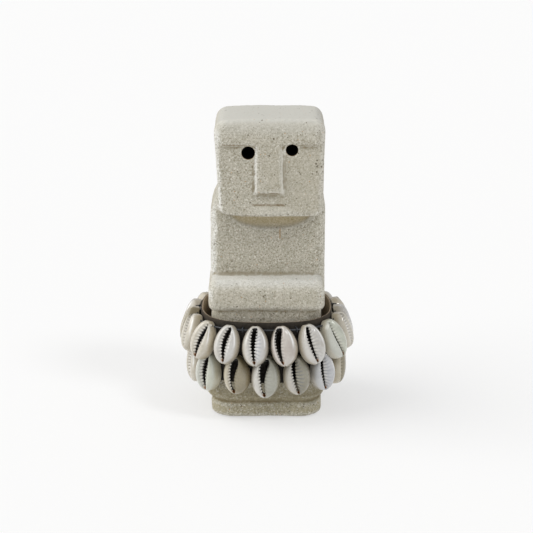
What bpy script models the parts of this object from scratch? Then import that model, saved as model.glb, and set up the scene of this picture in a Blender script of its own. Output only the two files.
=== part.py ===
"""Carved stone figure wearing a skirt of cowrie shells.

The figure faces -Y and stands on its foot at the origin, +Z up, in metres. It is one block of
stone. The skirt is a leather band that passes round the lower block, with two rows of cowries
strung on cords that are tied to the band. The whole skirt slides up and down the stone.
"""

import bisect
import math

import bmesh
import bpy
from mathutils import Matrix, Vector

MM = 0.001
GAP = 0.3 * MM  # clearance between pieces that touch on the real object

# Stone, from the foot up. Widths and depths are half sizes.
FOOT_HALF = 28.9 * MM
FOOT_HEIGHT = 8.3 * MM
GROOVE_HEIGHT = 0.9 * MM
GROOVE_DEPTH = 0.8 * MM
BLOCK_HALF_LOW = 29.2 * MM
BLOCK_HALF_HIGH = 28.4 * MM
BLOCK_TOP = 58.9 * MM
CORNER_RADIUS = 10.5 * MM
EDGE_WEAR = 0.9 * MM

LAP_HALF = 30.5 * MM
LAP_FRONT = 31.0 * MM
LAP_BACK = 12.0 * MM
LAP_TOP = 75.4 * MM
LAP_ROUND = 4.5 * MM

CHEST_HALF = 30.2 * MM
CHEST_SHIFT = 0.6 * MM
CHEST_FRONT = 16.0 * MM
BACK = 27.0 * MM
CHEST_EDGE = 5.0 * MM
CHEST_LEDGE = 0.4 * MM  # the ledge round the back is this much higher than the one under the lap
SHOULDER_TOP = 117.5 * MM
SHOULDER_ROUND = 9.0 * MM

HEAD_SHIFT = 1.8 * MM  # the head sits a little towards the figure's left
HEAD_BOTTOM = 109.1 * MM
HEAD_TOP = 160.0 * MM
HEAD_HALF_LOW = 26.6 * MM
HEAD_HALF_HIGH = 28.5 * MM
HEAD_FRONT = 27.6 * MM
HEAD_BACK = 25.0 * MM
HEAD_ROUND = 5.5 * MM

BROW_Z = 146.8 * MM
FACE_DEPTH = 1.6 * MM  # how far the face lies behind the brow
NOSE_HALF_TOP = 6.9 * MM
NOSE_HALF_LOW = 7.3 * MM
NOSE_DRAFT = 1.4 * MM  # how much each side spreads where the nose meets the face
NOSE_BOTTOM = 121.9 * MM
NOSE_PROUD = 2.4 * MM  # how far its tip stands in front of the brow
NOSE_SHIFT = -0.6 * MM
EYE_DEPTH = 13.0 * MM
LEFT_EYE = (-11.2 * MM, 142.8 * MM, 3.5 * MM)  # x from the head's middle, z, radius
RIGHT_EYE = (11.3 * MM, 144.3 * MM, 3.2 * MM)
MOUTH_HALF = 8.3 * MM
MOUTH_Z = 115.0 * MM
MOUTH_HEIGHT = 2.1 * MM
MOUTH_DEPTH = 1.3 * MM
SCOOP_HALF = 23.0 * MM  # hollow carved under the chin, into the chest
SCOOP_DEPTH = 4.0 * MM
SCOOP_BOTTOM = 100.6 * MM

# Band: its outer face is a superellipse in plan, between a circle and a square. It is loose on the
# block, with its closest places at the block's rounded corners.
BAND_POWER = 2.8
BAND_THICKNESS = 1.6 * MM
BAND_LOOSE = 0.45 * MM
CORNER_REACH = (BLOCK_HALF_LOW - CORNER_RADIUS) * math.sqrt(2) + CORNER_RADIUS
BAND_HALF = (CORNER_REACH + BAND_LOOSE + BAND_THICKNESS) / 2 ** (0.5 - 1 / BAND_POWER)
BAND_TOP = BLOCK_TOP - 3.9 * MM
BAND_HEIGHT = 33.5 * MM
BAND_SEAM = 0.6 * MM  # slit between its two ends
BAND_POINTS = 72

# Cords and threads.
CORD_RADIUS = 0.5 * MM
CORD_POINTS = 64
THREAD_RADIUS = 0.3 * MM
THREAD_LAY = 0.35 * MM  # gap between a thread and what it lies over
TIES_PER_ROW = 6
KNOT_SIZE = 0.52 * MM  # a knot reaches three of these from its middle
KNOT_RADIUS = 0.42 * MM
STITCH_HALF = 2.2 * MM
STITCH_DROPS = (7.0 * MM, 11.0 * MM, 15.0 * MM)  # below the band's top edge

# Cowries. Each hangs from its cord, near its narrow top end. Sizes are before each shell's own.
SHELL_TOP = 2.8 * MM  # from the cord up to the shell's tip
SHELL_WALL = 1.2 * MM
SHELL_HEIGHT = 6.6 * MM
SHELL_BACK = 0.6 * MM  # from the cord back to the cut rim
NOTCH_RADIUS = 1.35 * MM  # room for a shell to turn a little about its cord
SHELL_SEGMENTS = 12
SHELL_RINGS = 6
EGG = 0.08  # share by which the top end is narrower and the lower end wider
SLIT_SHARE = 0.78  # slit length over shell length
SLIT_WIDTH = 2.0 * MM
ROW_STEP = 4.0 * MM  # shells are spaced evenly this far outside the band

UPPER = {
    "name": "upper",
    "pitch": 14.5 * MM,
    "half_length": 10.8 * MM,
    "half_width": 6.95 * MM,
    "cord_z": BAND_TOP - 3.7 * MM,
    "cord_out": 1.85 * MM,
    "phase": 1.75 * MM,
    "between": 0.5,
    "tilt": math.radians(19.0),
    # How far each shell leans and turns on its cord in degrees, how far it is pushed along the cord
    # in millimetres, and its size.
    "roll": (-6, -8, -8, -4, -3, 2, -3, 1, 2, -1, 3, -2, -1, 2, 1, 6, 5, 1),
    "yaw": (0, -4, -16, -12, -6, 0, 3, 0, -2, 2, 0, -3, 0, 6, 12, 16, 4, 0),
    "push": (-1.4, -1, -0.5, -0.4, -0.2, 0, 0, 0, 0, 0, 0, 0, 0, 0, 0.1, -0.4, -0.1, -0.3),
    "size": (1.02, 1.03, 1.03, 0.98, 1, 0.97, 1, 0.98, 0.97, 1, 0.97, 0.98, 1, 0.97, 0.98, 1, 0.99, 1.01),
}
LOWER = {
    "name": "lower",
    "pitch": 16.5 * MM,
    "half_length": 11.35 * MM,
    "half_width": 7.45 * MM,
    "cord_z": BAND_TOP - 19.7 * MM,
    "cord_out": 1.6 * MM,
    "phase": -0.6 * MM,
    "between": 0.0,
    "tilt": math.radians(2.5),
    "roll": (1, -4, -3, 2, 3, -2, 1, -1, 2, -3, 1, 2, -2, 1, 2, -4),
    "yaw": (0, -3, -14, -8, 0, 2, 0, -2, 0, 2, 0, -2, 0, 8, 14, 3),
    "push": (0, -0.2, 0, 0, 0, 0, 0, 0, 0, 0, 0, 0, 0, 0, -0.7, 0),
    "size": (1.04, 0.98, 0.97, 1, 0.96, 0.98, 1, 0.97, 1, 0.98, 0.96, 1, 0.98, 0.97, 1, 0.96),
}


# --- Scene helpers ---------------------------------------------------------------------------


def clear_scene():
    for obj in list(bpy.data.objects):
        bpy.data.objects.remove(obj)


def new_collection(name):
    made = bpy.data.collections.new(name)
    bpy.context.scene.collection.children.link(made)
    return made


def material(name, color, roughness, metallic=0.0):
    made = bpy.data.materials.new(name)
    made.use_nodes = True
    shader = made.node_tree.nodes["Principled BSDF"]
    shader.inputs["Base Color"].default_value = (*color, 1.0)
    shader.inputs["Roughness"].default_value = roughness
    shader.inputs["Metallic"].default_value = metallic
    return made


def object_from(bm, name, collection, finish=None):
    bmesh.ops.recalc_face_normals(bm, faces=bm.faces)
    mesh = bpy.data.meshes.new(name)
    bm.to_mesh(mesh)
    bm.free()
    if finish:
        mesh.materials.append(finish)
    obj = bpy.data.objects.new(name, mesh)
    collection.objects.link(obj)
    return obj


def as_tool(obj):
    """Marks an object as a helper that only shapes another one."""
    obj.hide_render = True
    obj.display_type = "WIRE"
    return obj


def boolean(obj, tool, operation):
    step = obj.modifiers.new(tool.name, "BOOLEAN")
    step.operation = operation
    step.object = tool


def baked(obj, name):
    """The object's mesh with its modifiers applied."""
    bpy.context.view_layer.update()
    graph = bpy.context.evaluated_depsgraph_get()
    mesh = bpy.data.meshes.new_from_object(obj.evaluated_get(graph))
    mesh.name = name
    return mesh


# --- Stone -----------------------------------------------------------------------------------


def slab(name, collection, x_half, y_front, y_back, z_low, z_high, upright=0.0, rounded_top=0.0, wear=0.0):
    """A block. x_half is (low, high). upright rounds its vertical edges, and rounded_top all of its top."""
    bm = bmesh.new()
    bmesh.ops.create_cube(bm, size=2)
    for vert in bm.verts:
        high = vert.co.z > 0
        vert.co.x *= x_half[1] if high else x_half[0]
        vert.co.y = y_back if vert.co.y > 0 else -y_front
        vert.co.z = z_high if high else z_low
    if rounded_top:
        top_and_sides = [e for e in bm.edges if max(v.co.z for v in e.verts) > z_high - MM]
        bmesh.ops.bevel(bm, geom=top_and_sides, offset=rounded_top, segments=4, profile=0.5, affect="EDGES")
    elif upright:
        sides = [e for e in bm.edges if abs(e.verts[0].co.z - e.verts[1].co.z) > MM]
        bmesh.ops.bevel(bm, geom=sides, offset=upright, segments=5, profile=0.5, affect="EDGES")
    obj = object_from(bm, name, collection)
    if wear:
        soft = obj.modifiers.new("wear", "BEVEL")
        soft.width = wear
        soft.segments = 2
        soft.limit_method = "ANGLE"
        soft.angle_limit = math.radians(50)
    return as_tool(obj)


def nose(name, collection):
    """A wedge that runs out of the brow, wider where it meets the face, cut square below."""
    bm = bmesh.new()
    bmesh.ops.create_cube(bm, size=2)
    root = HEAD_FRONT - FACE_DEPTH - 2 * MM
    for vert in bm.verts:
        high = vert.co.z > 0
        front = vert.co.y < 0
        half = NOSE_HALF_TOP if high else NOSE_HALF_LOW
        proud = 0.0 if high else NOSE_PROUD
        vert.co.x *= half if front else half + NOSE_DRAFT
        vert.co.y = -(HEAD_FRONT + proud - 0.02 * MM) if front else -root
        vert.co.z = BROW_Z + 2 * MM if high else NOSE_BOTTOM
    obj = object_from(bm, name, collection)
    obj.location.x = HEAD_SHIFT + NOSE_SHIFT
    return as_tool(obj)


def drill(name, collection, x, z, radius):
    """An eye hole, drilled straight back."""
    bm = bmesh.new()
    length = 2 * EYE_DEPTH
    bmesh.ops.create_cone(bm, cap_ends=True, segments=20, radius1=radius, radius2=radius, depth=length)
    bmesh.ops.rotate(bm, verts=bm.verts, matrix=Matrix.Rotation(math.pi / 2, 3, "X"))
    obj = object_from(bm, name, collection)
    obj.location = (HEAD_SHIFT + x, -HEAD_FRONT + FACE_DEPTH, z)
    return as_tool(obj)


def scoop(name, collection):
    """The rounded hollow under the chin."""
    bm = bmesh.new()
    bmesh.ops.create_uvsphere(bm, u_segments=20, v_segments=12, radius=1)
    drop = HEAD_BOTTOM + 2 * MM - SCOOP_BOTTOM
    bmesh.ops.scale(bm, verts=bm.verts, vec=(SCOOP_HALF, SCOOP_DEPTH, drop))
    low = [v for v in bm.verts if v.co.z > 0]
    for vert in low:
        vert.co.z = min(vert.co.z, 1.5 * MM)
    obj = object_from(bm, name, collection)
    obj.location = (HEAD_SHIFT, -CHEST_FRONT, HEAD_BOTTOM + 1 * MM - 2 * GAP)
    return as_tool(obj)


def stone_figure(collection, tools, finish):
    waist = BLOCK_HALF_LOW - GROOVE_DEPTH
    groove_top = FOOT_HEIGHT + GROOVE_HEIGHT
    overlap = 2 * MM
    block = slab(
        "tool_block", tools, (BLOCK_HALF_LOW, BLOCK_HALF_HIGH), BLOCK_HALF_HIGH, BLOCK_HALF_HIGH,
        groove_top, BLOCK_TOP + overlap, upright=CORNER_RADIUS, wear=EDGE_WEAR / 2,
    )
    foot = slab(
        "tool_foot", tools, (FOOT_HALF - EDGE_WEAR, FOOT_HALF), BLOCK_HALF_HIGH, BLOCK_HALF_HIGH,
        0.0, FOOT_HEIGHT, upright=CORNER_RADIUS, wear=EDGE_WEAR / 2,
    )
    groove = slab(
        "tool_groove", tools, (waist, waist),
        BLOCK_HALF_HIGH - GROOVE_DEPTH, BLOCK_HALF_HIGH - GROOVE_DEPTH,
        FOOT_HEIGHT - overlap, groove_top + overlap, upright=CORNER_RADIUS - GROOVE_DEPTH,
    )
    lap = slab(
        "tool_lap", tools, (LAP_HALF, LAP_HALF), LAP_FRONT, LAP_BACK, BLOCK_TOP, LAP_TOP,
        rounded_top=LAP_ROUND, wear=2 * EDGE_WEAR,
    )
    chest = slab(
        "tool_chest", tools, (CHEST_HALF, CHEST_HALF), CHEST_FRONT, BACK, BLOCK_TOP + CHEST_LEDGE,
        SHOULDER_TOP, rounded_top=CHEST_EDGE,
    )
    chest.location.x = CHEST_SHIFT
    head = slab(
        "tool_head", tools, (HEAD_HALF_LOW, HEAD_HALF_HIGH), HEAD_FRONT, HEAD_BACK, HEAD_BOTTOM, HEAD_TOP,
        rounded_top=HEAD_ROUND, wear=EDGE_WEAR,
    )
    head.location.x = HEAD_SHIFT
    cheeks = slab(
        "tool_cheeks", tools, (LAP_HALF, LAP_HALF), HEAD_FRONT + 2 * MM, FACE_DEPTH - HEAD_FRONT,
        HEAD_BOTTOM - 2 * MM, BROW_Z,
    )
    mouth = slab(
        "tool_mouth", tools, (MOUTH_HALF, MOUTH_HALF), HEAD_FRONT + 2 * MM,
        FACE_DEPTH + MOUTH_DEPTH - HEAD_FRONT, MOUTH_Z - MOUTH_HEIGHT / 2, MOUTH_Z + MOUTH_HEIGHT / 2,
    )
    mouth.location.x = HEAD_SHIFT - 1 * MM

    mesh = bpy.data.meshes.new("stone_figure")
    mesh.materials.append(finish)
    bm = bmesh.new()
    bm.from_mesh(groove.data)
    bm.to_mesh(mesh)
    bm.free()
    figure = bpy.data.objects.new("stone_figure", mesh)
    collection.objects.link(figure)
    for tool in (foot, block, chest, lap, head):
        boolean(figure, tool, "UNION")
    boolean(figure, cheeks, "DIFFERENCE")
    boolean(figure, nose("tool_nose", tools), "UNION")
    boolean(figure, mouth, "DIFFERENCE")
    boolean(figure, scoop("tool_scoop", tools), "DIFFERENCE")
    boolean(figure, drill("tool_left_eye", tools, *LEFT_EYE), "DIFFERENCE")
    boolean(figure, drill("tool_right_eye", tools, *RIGHT_EYE), "DIFFERENCE")
    return figure


# --- The ring that the band, the cords and the shells follow ----------------------------------


class Ring:
    """The band's outer face in plan. Places on it are lengths along a line ROW_STEP outside it,
    from the middle of the front towards +X."""

    SAMPLES = 1440

    def __init__(self, half, power, step):
        self.points, self.normals, self.lengths = [], [], [0.0]
        for i in range(self.SAMPLES + 1):
            turn = 2 * math.pi * i / self.SAMPLES
            x, y = math.sin(turn), -math.cos(turn)
            reach = half / (abs(x) ** power + abs(y) ** power) ** (1 / power)
            point = Vector((x * reach, y * reach, 0.0))
            slope = Vector((
                math.copysign(abs(x) ** (power - 1), x), math.copysign(abs(y) ** (power - 1), y), 0.0,
            ))
            self.points.append(point)
            self.normals.append(slope.normalized())
        outside = [p + n * step for p, n in zip(self.points, self.normals)]
        for before, after in zip(outside, outside[1:]):
            self.lengths.append(self.lengths[-1] + (after - before).length)
        self.total = self.lengths[-1]

    def at(self, length):
        """(point, normal) of the band's outer face."""
        length %= self.total
        i = min(bisect.bisect_right(self.lengths, length), self.SAMPLES) - 1
        share = (length - self.lengths[i]) / (self.lengths[i + 1] - self.lengths[i])
        point = self.points[i].lerp(self.points[i + 1], share)
        return point, self.normals[i].lerp(self.normals[i + 1], share).normalized()

    def matrix(self, length, out, height):
        """A frame with X along the ring, -Y outwards and Z up, out from the band's face."""
        point, normal = self.at(length)
        along = Vector((-normal.y, normal.x, 0.0))
        place = point + normal * out
        place.z = height
        turned = Matrix((along, -normal, Vector((0.0, 0.0, 1.0)))).transposed()
        return Matrix.Translation(place) @ turned.to_4x4()


def shell_place(ring, row, number):
    return (number + row["between"]) * ring.total / row["count"] + row["phase"]


def gap_place(ring, row, number):
    """The middle of the gap before a shell."""
    return shell_place(ring, row, number - 0.5)


def counted(ring, row):
    """The row with as many shells as fit its pitch."""
    return dict(row, count=round(ring.total / row["pitch"]))


def knot_gap(row):
    """Which gap holds a row's knot: the one nearest the middle of the back."""
    return math.ceil(row["count"] / 2 - row["between"] + 0.5)


def seam_place(ring, rows):
    """The band closes at the back, between the two knots."""
    return sum(gap_place(ring, row, knot_gap(row)) for row in rows) / len(rows)


# --- Threads and cords ------------------------------------------------------------------------


def wire(name, collection, finish, points, radius, resolution, cyclic=False):
    curve = bpy.data.curves.new(name, "CURVE")
    curve.dimensions = "3D"
    curve.bevel_depth = radius
    curve.bevel_resolution = resolution
    curve.use_fill_caps = not cyclic
    line = curve.splines.new("POLY")
    line.points.add(len(points) - 1)
    for place, point in zip(line.points, points):
        place.co = (*point, 1.0)
    line.use_cyclic_u = cyclic
    curve.materials.append(finish)
    obj = bpy.data.objects.new(name, curve)
    collection.objects.link(obj)
    return obj


def row_cord(ring, row, collection, finish):
    """The cord that a row of shells hangs from. Its ends stop at the knot."""
    knot_half = 3 * KNOT_SIZE + KNOT_RADIUS + GAP
    start = gap_place(ring, row, knot_gap(row)) + knot_half
    run = ring.total - 2 * knot_half
    points = []
    for i in range(CORD_POINTS):
        length = start + run * i / (CORD_POINTS - 1)
        points.append(ring.matrix(length, row["cord_out"], row["cord_z"]).translation)
    return wire(row["name"] + "_cord", collection, finish, points, CORD_RADIUS, 0)


def row_knot(ring, row, collection, finish):
    """The knot that closes a row's cord, a tight trefoil lying against the band."""
    lift = 1.5 * KNOT_SIZE
    out = max(row["cord_out"], lift + KNOT_RADIUS + GAP)
    frame = ring.matrix(gap_place(ring, row, knot_gap(row)), out, row["cord_z"])
    points = []
    for i in range(24):
        turn = 2 * math.pi * i / 24
        x = math.sin(turn) + 2 * math.sin(2 * turn)
        z = math.cos(turn) - 2 * math.cos(2 * turn)
        points.append(frame @ Vector((x * KNOT_SIZE, math.sin(3 * turn) * lift, z * KNOT_SIZE)))
    return wire(row["name"] + "_cord_knot", collection, finish, points, KNOT_RADIUS, 0, cyclic=True)


def staple(frame, half, reach, upright):
    """Points of a thread that comes out of the band, runs over its face and goes back in."""
    inside = BAND_THICKNESS - GAP / 2
    flat = ((-half, inside), (-half, -reach), (half, -reach), (half, inside))
    if upright:
        return [frame @ Vector((0.0, y, across)) for across, y in flat]
    return [frame @ Vector((across, y, 0.0)) for across, y in flat]


def threads(ring, rows, collection, finish):
    """Ties round the cords and stitches across the band's seam, each with the frame of its two holes."""
    made = []
    tie_half = CORD_RADIUS + THREAD_LAY + THREAD_RADIUS
    for row in rows:
        reach = row["cord_out"] + tie_half
        for i in range(TIES_PER_ROW):
            gap = knot_gap(row) + round((i + 0.5) * row["count"] / TIES_PER_ROW)
            frame = ring.matrix(gap_place(ring, row, gap), 0.0, row["cord_z"])
            points = staple(frame, tie_half, reach, upright=True)
            wire(f"{row['name']}_tie_{i + 1}", collection, finish, points, THREAD_RADIUS, 0)
            made.append((frame, tie_half, True))
    for i, drop in enumerate(STITCH_DROPS):
        frame = ring.matrix(seam_place(ring, rows), 0.0, BAND_TOP - drop)
        points = staple(frame, STITCH_HALF, THREAD_LAY + THREAD_RADIUS, upright=False)
        wire(f"seam_stitch_{i + 1}", collection, finish, points, THREAD_RADIUS, 0)
        made.append((frame, STITCH_HALF, False))
    return made


# --- Band -------------------------------------------------------------------------------------


def waist_band(ring, seam, holes, collection, tools, finish):
    """A leather strip bent round the stone, its ends butted at the seam, with a hole for each thread."""
    start = seam + BAND_SEAM / 2
    run = ring.total - BAND_SEAM
    bm = bmesh.new()
    row = []
    for i in range(BAND_POINTS + 1):
        place = ring.matrix(start + run * i / BAND_POINTS, 0.0, BAND_TOP - BAND_HEIGHT).translation
        row.append(bm.verts.new(place))
    low_edge = [bm.edges.new(pair) for pair in zip(row, row[1:])]
    raised = bmesh.ops.extrude_edge_only(bm, edges=low_edge)["geom"]
    verts = [v for v in raised if isinstance(v, bmesh.types.BMVert)]
    bmesh.ops.translate(bm, verts=verts, vec=(0.0, 0.0, BAND_HEIGHT))
    band = object_from(bm, "waist_band", collection, finish)
    first = band.data.polygons[0]
    outwards = first.normal.dot(Vector((first.center.x, first.center.y, 0.0))) > 0
    wall = band.modifiers.new("wall", "SOLIDIFY")
    wall.thickness = BAND_THICKNESS
    wall.offset = -1.0 if outwards else 1.0
    boolean(band, punch(holes, tools), "DIFFERENCE")
    return band


def punch(holes, tools):
    """One cutter with a short pin for each hole in the band."""
    bm = bmesh.new()
    radius = THREAD_RADIUS + 1.5 * GAP
    for frame, half, upright in holes:
        for side in (-half, half):
            shift = Vector((0.0, BAND_THICKNESS / 2, side) if upright else (side, BAND_THICKNESS / 2, 0.0))
            place = frame @ Matrix.Translation(shift) @ Matrix.Rotation(math.pi / 2, 4, "X")
            bmesh.ops.create_cone(
                bm, cap_ends=True, segments=4, radius1=radius, radius2=radius,
                depth=2.4 * BAND_THICKNESS, matrix=place,
            )
    return as_tool(object_from(bm, "tool_punch", tools))


# --- Cowries ----------------------------------------------------------------------------------


def cowrie_mesh(row, tools, finish):
    """One cowrie of a row: a hollow dome, open behind where its back was cut off, with a slit in
    front and a notch in each side of its rim for the cord. Its origin is on the cord."""
    name = row["name"] + "_cowrie"
    half_length = row["half_length"]
    middle = SHELL_TOP - half_length
    bm = bmesh.new()
    bmesh.ops.create_uvsphere(bm, u_segments=SHELL_SEGMENTS, v_segments=SHELL_RINGS, radius=1)
    bmesh.ops.rotate(bm, verts=bm.verts, matrix=Matrix.Rotation(math.pi / 2, 3, "X"))
    bmesh.ops.bisect_plane(
        bm, geom=bm.verts[:] + bm.edges[:] + bm.faces[:], plane_co=(0, 0, 0), plane_no=(0, 1, 0),
        clear_outer=True, dist=1e-5,
    )
    for vert in bm.verts:
        x, y, z = vert.co
        vert.co = (
            x * row["half_width"] * (1 - EGG * z),
            y * SHELL_HEIGHT + SHELL_BACK,
            z * half_length + middle,
        )
    shell = as_tool(object_from(bm, "tool_" + name, tools, finish))
    lowest = min(shell.data.polygons, key=lambda p: p.center.y)
    wall = shell.modifiers.new("wall", "SOLIDIFY")
    wall.thickness = SHELL_WALL
    wall.offset = -1.0 if lowest.normal.y < 0 else 1.0

    bm = bmesh.new()
    bmesh.ops.create_cone(bm, cap_ends=True, segments=8, radius1=1, radius2=1, depth=1)
    bmesh.ops.rotate(bm, verts=bm.verts, matrix=Matrix.Rotation(math.pi / 2, 3, "X"))
    for vert in bm.verts:
        taper = 1 + 0.35 * vert.co.z
        vert.co.x *= SLIT_WIDTH / 2 * taper
        vert.co.z = vert.co.z * half_length * SLIT_SHARE + middle
        vert.co.y = vert.co.y * SHELL_HEIGHT - SHELL_HEIGHT
    boolean(shell, as_tool(object_from(bm, "tool_slit_" + row["name"], tools)), "DIFFERENCE")

    bm = bmesh.new()
    bmesh.ops.create_cone(
        bm, cap_ends=True, segments=6, radius1=NOTCH_RADIUS, radius2=NOTCH_RADIUS,
        depth=3 * row["half_width"], matrix=Matrix.Rotation(math.pi / 2, 4, "Y"),
    )
    boolean(shell, as_tool(object_from(bm, "tool_notch_" + row["name"], tools)), "DIFFERENCE")
    return baked(shell, name)


def hang_cowries(ring, row, collection, tools, finish):
    mesh = cowrie_mesh(row, tools, finish)
    for number in range(row["count"]):
        push = row["push"][number % len(row["push"])] * MM
        frame = ring.matrix(shell_place(ring, row, number) + push, row["cord_out"], row["cord_z"])
        roll = Matrix.Rotation(math.radians(row["roll"][number % len(row["roll"])]), 4, "Y")
        tilt = Matrix.Rotation(-row["tilt"], 4, "X")
        yaw = Matrix.Rotation(math.radians(row["yaw"][number % len(row["yaw"])]), 4, "Z")
        shell = bpy.data.objects.new(f"{row['name']}_cowrie_{number + 1:02d}", mesh)
        size = Matrix.Scale(row["size"][number % len(row["size"])], 4)
        shell.matrix_world = frame @ yaw @ tilt @ roll @ size
        collection.objects.link(shell)


def build():
    clear_scene()
    parts = new_collection("stone_figure_with_cowrie_skirt")
    tools = new_collection("tools")
    stone = material("stone", (0.62, 0.60, 0.53), 0.95)
    leather = material("leather", (0.05, 0.035, 0.03), 0.8)
    black_cord = material("black_cord", (0.015, 0.016, 0.02), 0.35)
    cowrie = material("cowrie", (0.82, 0.79, 0.73), 0.25)

    ring = Ring(BAND_HALF, BAND_POWER, ROW_STEP)
    stone_figure(parts, tools, stone)
    rows = [counted(ring, row) for row in (UPPER, LOWER)]
    holes = threads(ring, rows, parts, black_cord)
    waist_band(ring, seam_place(ring, rows), holes, parts, tools, leather)
    for row in rows:
        row_cord(ring, row, parts, black_cord)
        row_knot(ring, row, parts, black_cord)
        hang_cowries(ring, row, parts, tools, cowrie)


build()
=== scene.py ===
import bisect
import math

import bmesh
import bpy
from mathutils import Matrix, Vector, noise


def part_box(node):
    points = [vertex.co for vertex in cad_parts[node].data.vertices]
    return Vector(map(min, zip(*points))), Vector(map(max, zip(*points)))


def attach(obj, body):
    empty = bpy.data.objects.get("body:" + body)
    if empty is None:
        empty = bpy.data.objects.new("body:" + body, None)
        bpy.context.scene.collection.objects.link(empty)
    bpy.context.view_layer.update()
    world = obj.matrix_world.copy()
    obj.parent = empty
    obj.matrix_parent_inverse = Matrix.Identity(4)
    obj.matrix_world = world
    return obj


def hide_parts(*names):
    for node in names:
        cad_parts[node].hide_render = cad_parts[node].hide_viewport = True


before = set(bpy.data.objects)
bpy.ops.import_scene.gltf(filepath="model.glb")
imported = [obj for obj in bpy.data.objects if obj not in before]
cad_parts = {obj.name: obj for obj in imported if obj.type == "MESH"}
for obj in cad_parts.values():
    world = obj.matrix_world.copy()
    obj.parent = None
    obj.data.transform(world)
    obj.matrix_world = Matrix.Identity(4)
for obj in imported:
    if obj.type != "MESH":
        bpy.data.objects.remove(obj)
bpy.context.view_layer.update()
mm = 0.001
scene = bpy.context.scene
print("frame loaded:", len(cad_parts), "nodes")


def newObject(name, mesh, *materials):
    for item in materials:
        mesh.materials.append(item)
    obj = bpy.data.objects.new(name, mesh)
    scene.collection.objects.link(obj)
    return obj


def meshFrom(bm, name):
    mesh = bpy.data.meshes.new(name)
    bm.to_mesh(mesh)
    bm.free()
    mesh.shade_smooth()
    return mesh


def applied(obj):
    # bakes the modifiers into the mesh, so that the object carries none
    bpy.context.view_layer.update()
    graph = bpy.context.evaluated_depsgraph_get()
    mesh = bpy.data.meshes.new_from_object(obj.evaluated_get(graph))
    old = obj.data
    obj.modifiers.clear()
    obj.data = mesh
    bpy.data.meshes.remove(old)


def carve(obj, tool, operation="DIFFERENCE", solver="EXACT"):
    step = obj.modifiers.new("carve", "BOOLEAN")
    step.operation = operation
    step.object = tool
    step.solver = solver
    applied(obj)
    bpy.data.objects.remove(tool)


def finishPiece(obj, node, body="skirt"):
    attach(obj, body)
    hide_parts(node)


def keepValues(mesh, name, values):
    # one number per vertex, which a material reads by its name
    layer = mesh.attributes.new(name, "FLOAT", "POINT")
    layer.data.foreach_set("value", values)


def nextLoop(bm, edges, loop):
    # extrudes an open end, and returns its new edges and its new vertices in the old order
    made = bmesh.ops.extrude_edge_only(bm, edges=edges)["geom"]
    edges = [g for g in made if isinstance(g, bmesh.types.BMEdge) and len(g.link_faces) == 1]
    fresh = {v for e in edges for v in e.verts}
    return edges, [next(e.other_vert(v) for e in v.link_edges if e.other_vert(v) in fresh) for v in loop]


def clamp(value, low, high):
    return max(low, min(high, value))


def smoothStep(low, high, value):
    t = clamp((value - low) / (high - low), 0.0, 1.0)
    return t * t * (3 - 2 * t)


class Nodes:
    # a short way to write a material: values in, sockets out
    def __init__(self, name, color=None, paint=None):
        self.color, self.paint = color, paint
        self.material = bpy.data.materials.new(name)
        self.material.use_nodes = True
        self.tree = self.material.node_tree
        self.shader = self.tree.nodes["Principled BSDF"]
        self.coords = self.tree.nodes.new("ShaderNodeTexCoord").outputs["Object"]

    def put(self, socket, value):
        if isinstance(value, bpy.types.NodeSocket):
            self.tree.links.new(value, socket)
        elif isinstance(value, (tuple, list)) and len(value) == 3 and len(socket.default_value) == 4:
            socket.default_value = (*value, 1.0)
        else:
            socket.default_value = value

    def add(self, kind, values, output=0, **settings):
        node = self.tree.nodes.new("ShaderNode" + kind)
        for name, value in settings.items():
            setattr(node, name, value)
        for name, value in values.items():
            self.put(node.inputs[name], value)
        return node.outputs[output]

    def finish(self, values):
        for name, value in values.items():
            self.put(self.shader.inputs[name], value)
        return self.material

    def turned(self, angles):
        if not angles:
            return self.coords
        return self.add("Mapping", {"Vector": self.coords, "Rotation": angles}, "Vector")

    def noise(self, size, detail, rough, angles=None):
        values = {"Vector": self.turned(angles), "Scale": 1 / size, "Detail": detail, "Roughness": rough}
        return self.add("TexNoise", values, "Fac")

    def cells(self, size, angles=None):
        return self.add("TexVoronoi", {"Vector": self.turned(angles), "Scale": 1 / size}, "Distance")

    def ramp(self, value, low, high, start=0.0, end=1.0):
        values = {"Value": value, "From Min": low, "From Max": high, "To Min": start, "To Max": end}
        return self.add("MapRange", values, "Result", interpolation_type="SMOOTHSTEP")

    def fade(self, value, low, high, *ends):
        # a ramp between two places given in millimetres
        return self.ramp(value, low * mm, high * mm, *ends)

    def math(self, operation, *values):
        return self.add("Math", dict(enumerate(values)), operation=operation)

    def times(self, first, *others):
        for other in others:
            first = self.math("MULTIPLY", first, other)
        return first

    def plus(self, a, b):
        return self.math("ADD", a, b)

    def minus(self, a, b):
        return self.math("SUBTRACT", a, b)

    def away(self, value, middle):
        return self.math("ABSOLUTE", self.minus(value, middle))

    def below(self, value, limit):
        return self.math("LESS_THAN", value, limit)

    def above(self, value, limit):
        return self.math("GREATER_THAN", value, limit)

    def mix(self, share, a, b, blend="MIX"):
        return self.add("Mix", {0: share, 6: a, 7: b}, 2, data_type="RGBA", blend_type=blend)

    def lay(self, mask, tint, strength=1.0):
        # lays a tint over the color so far; a name stands for the paint's tint and its strength
        if isinstance(tint, str):
            tint, strength = self.paint[tint]
        self.color = self.mix(mask if strength == 1.0 else self.times(mask, strength), self.color, tint)

    def split(self, vector):
        node = self.tree.nodes.new("ShaderNodeSeparateXYZ")
        self.put(node.inputs[0], vector)
        return node.outputs

    def attribute(self, name):
        return self.add("Attribute", {}, "Fac", attribute_name=name)

    def bump(self, height, strength, distance):
        return self.add("Bump", {"Strength": strength, "Distance": distance, "Height": height}, "Normal")


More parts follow.
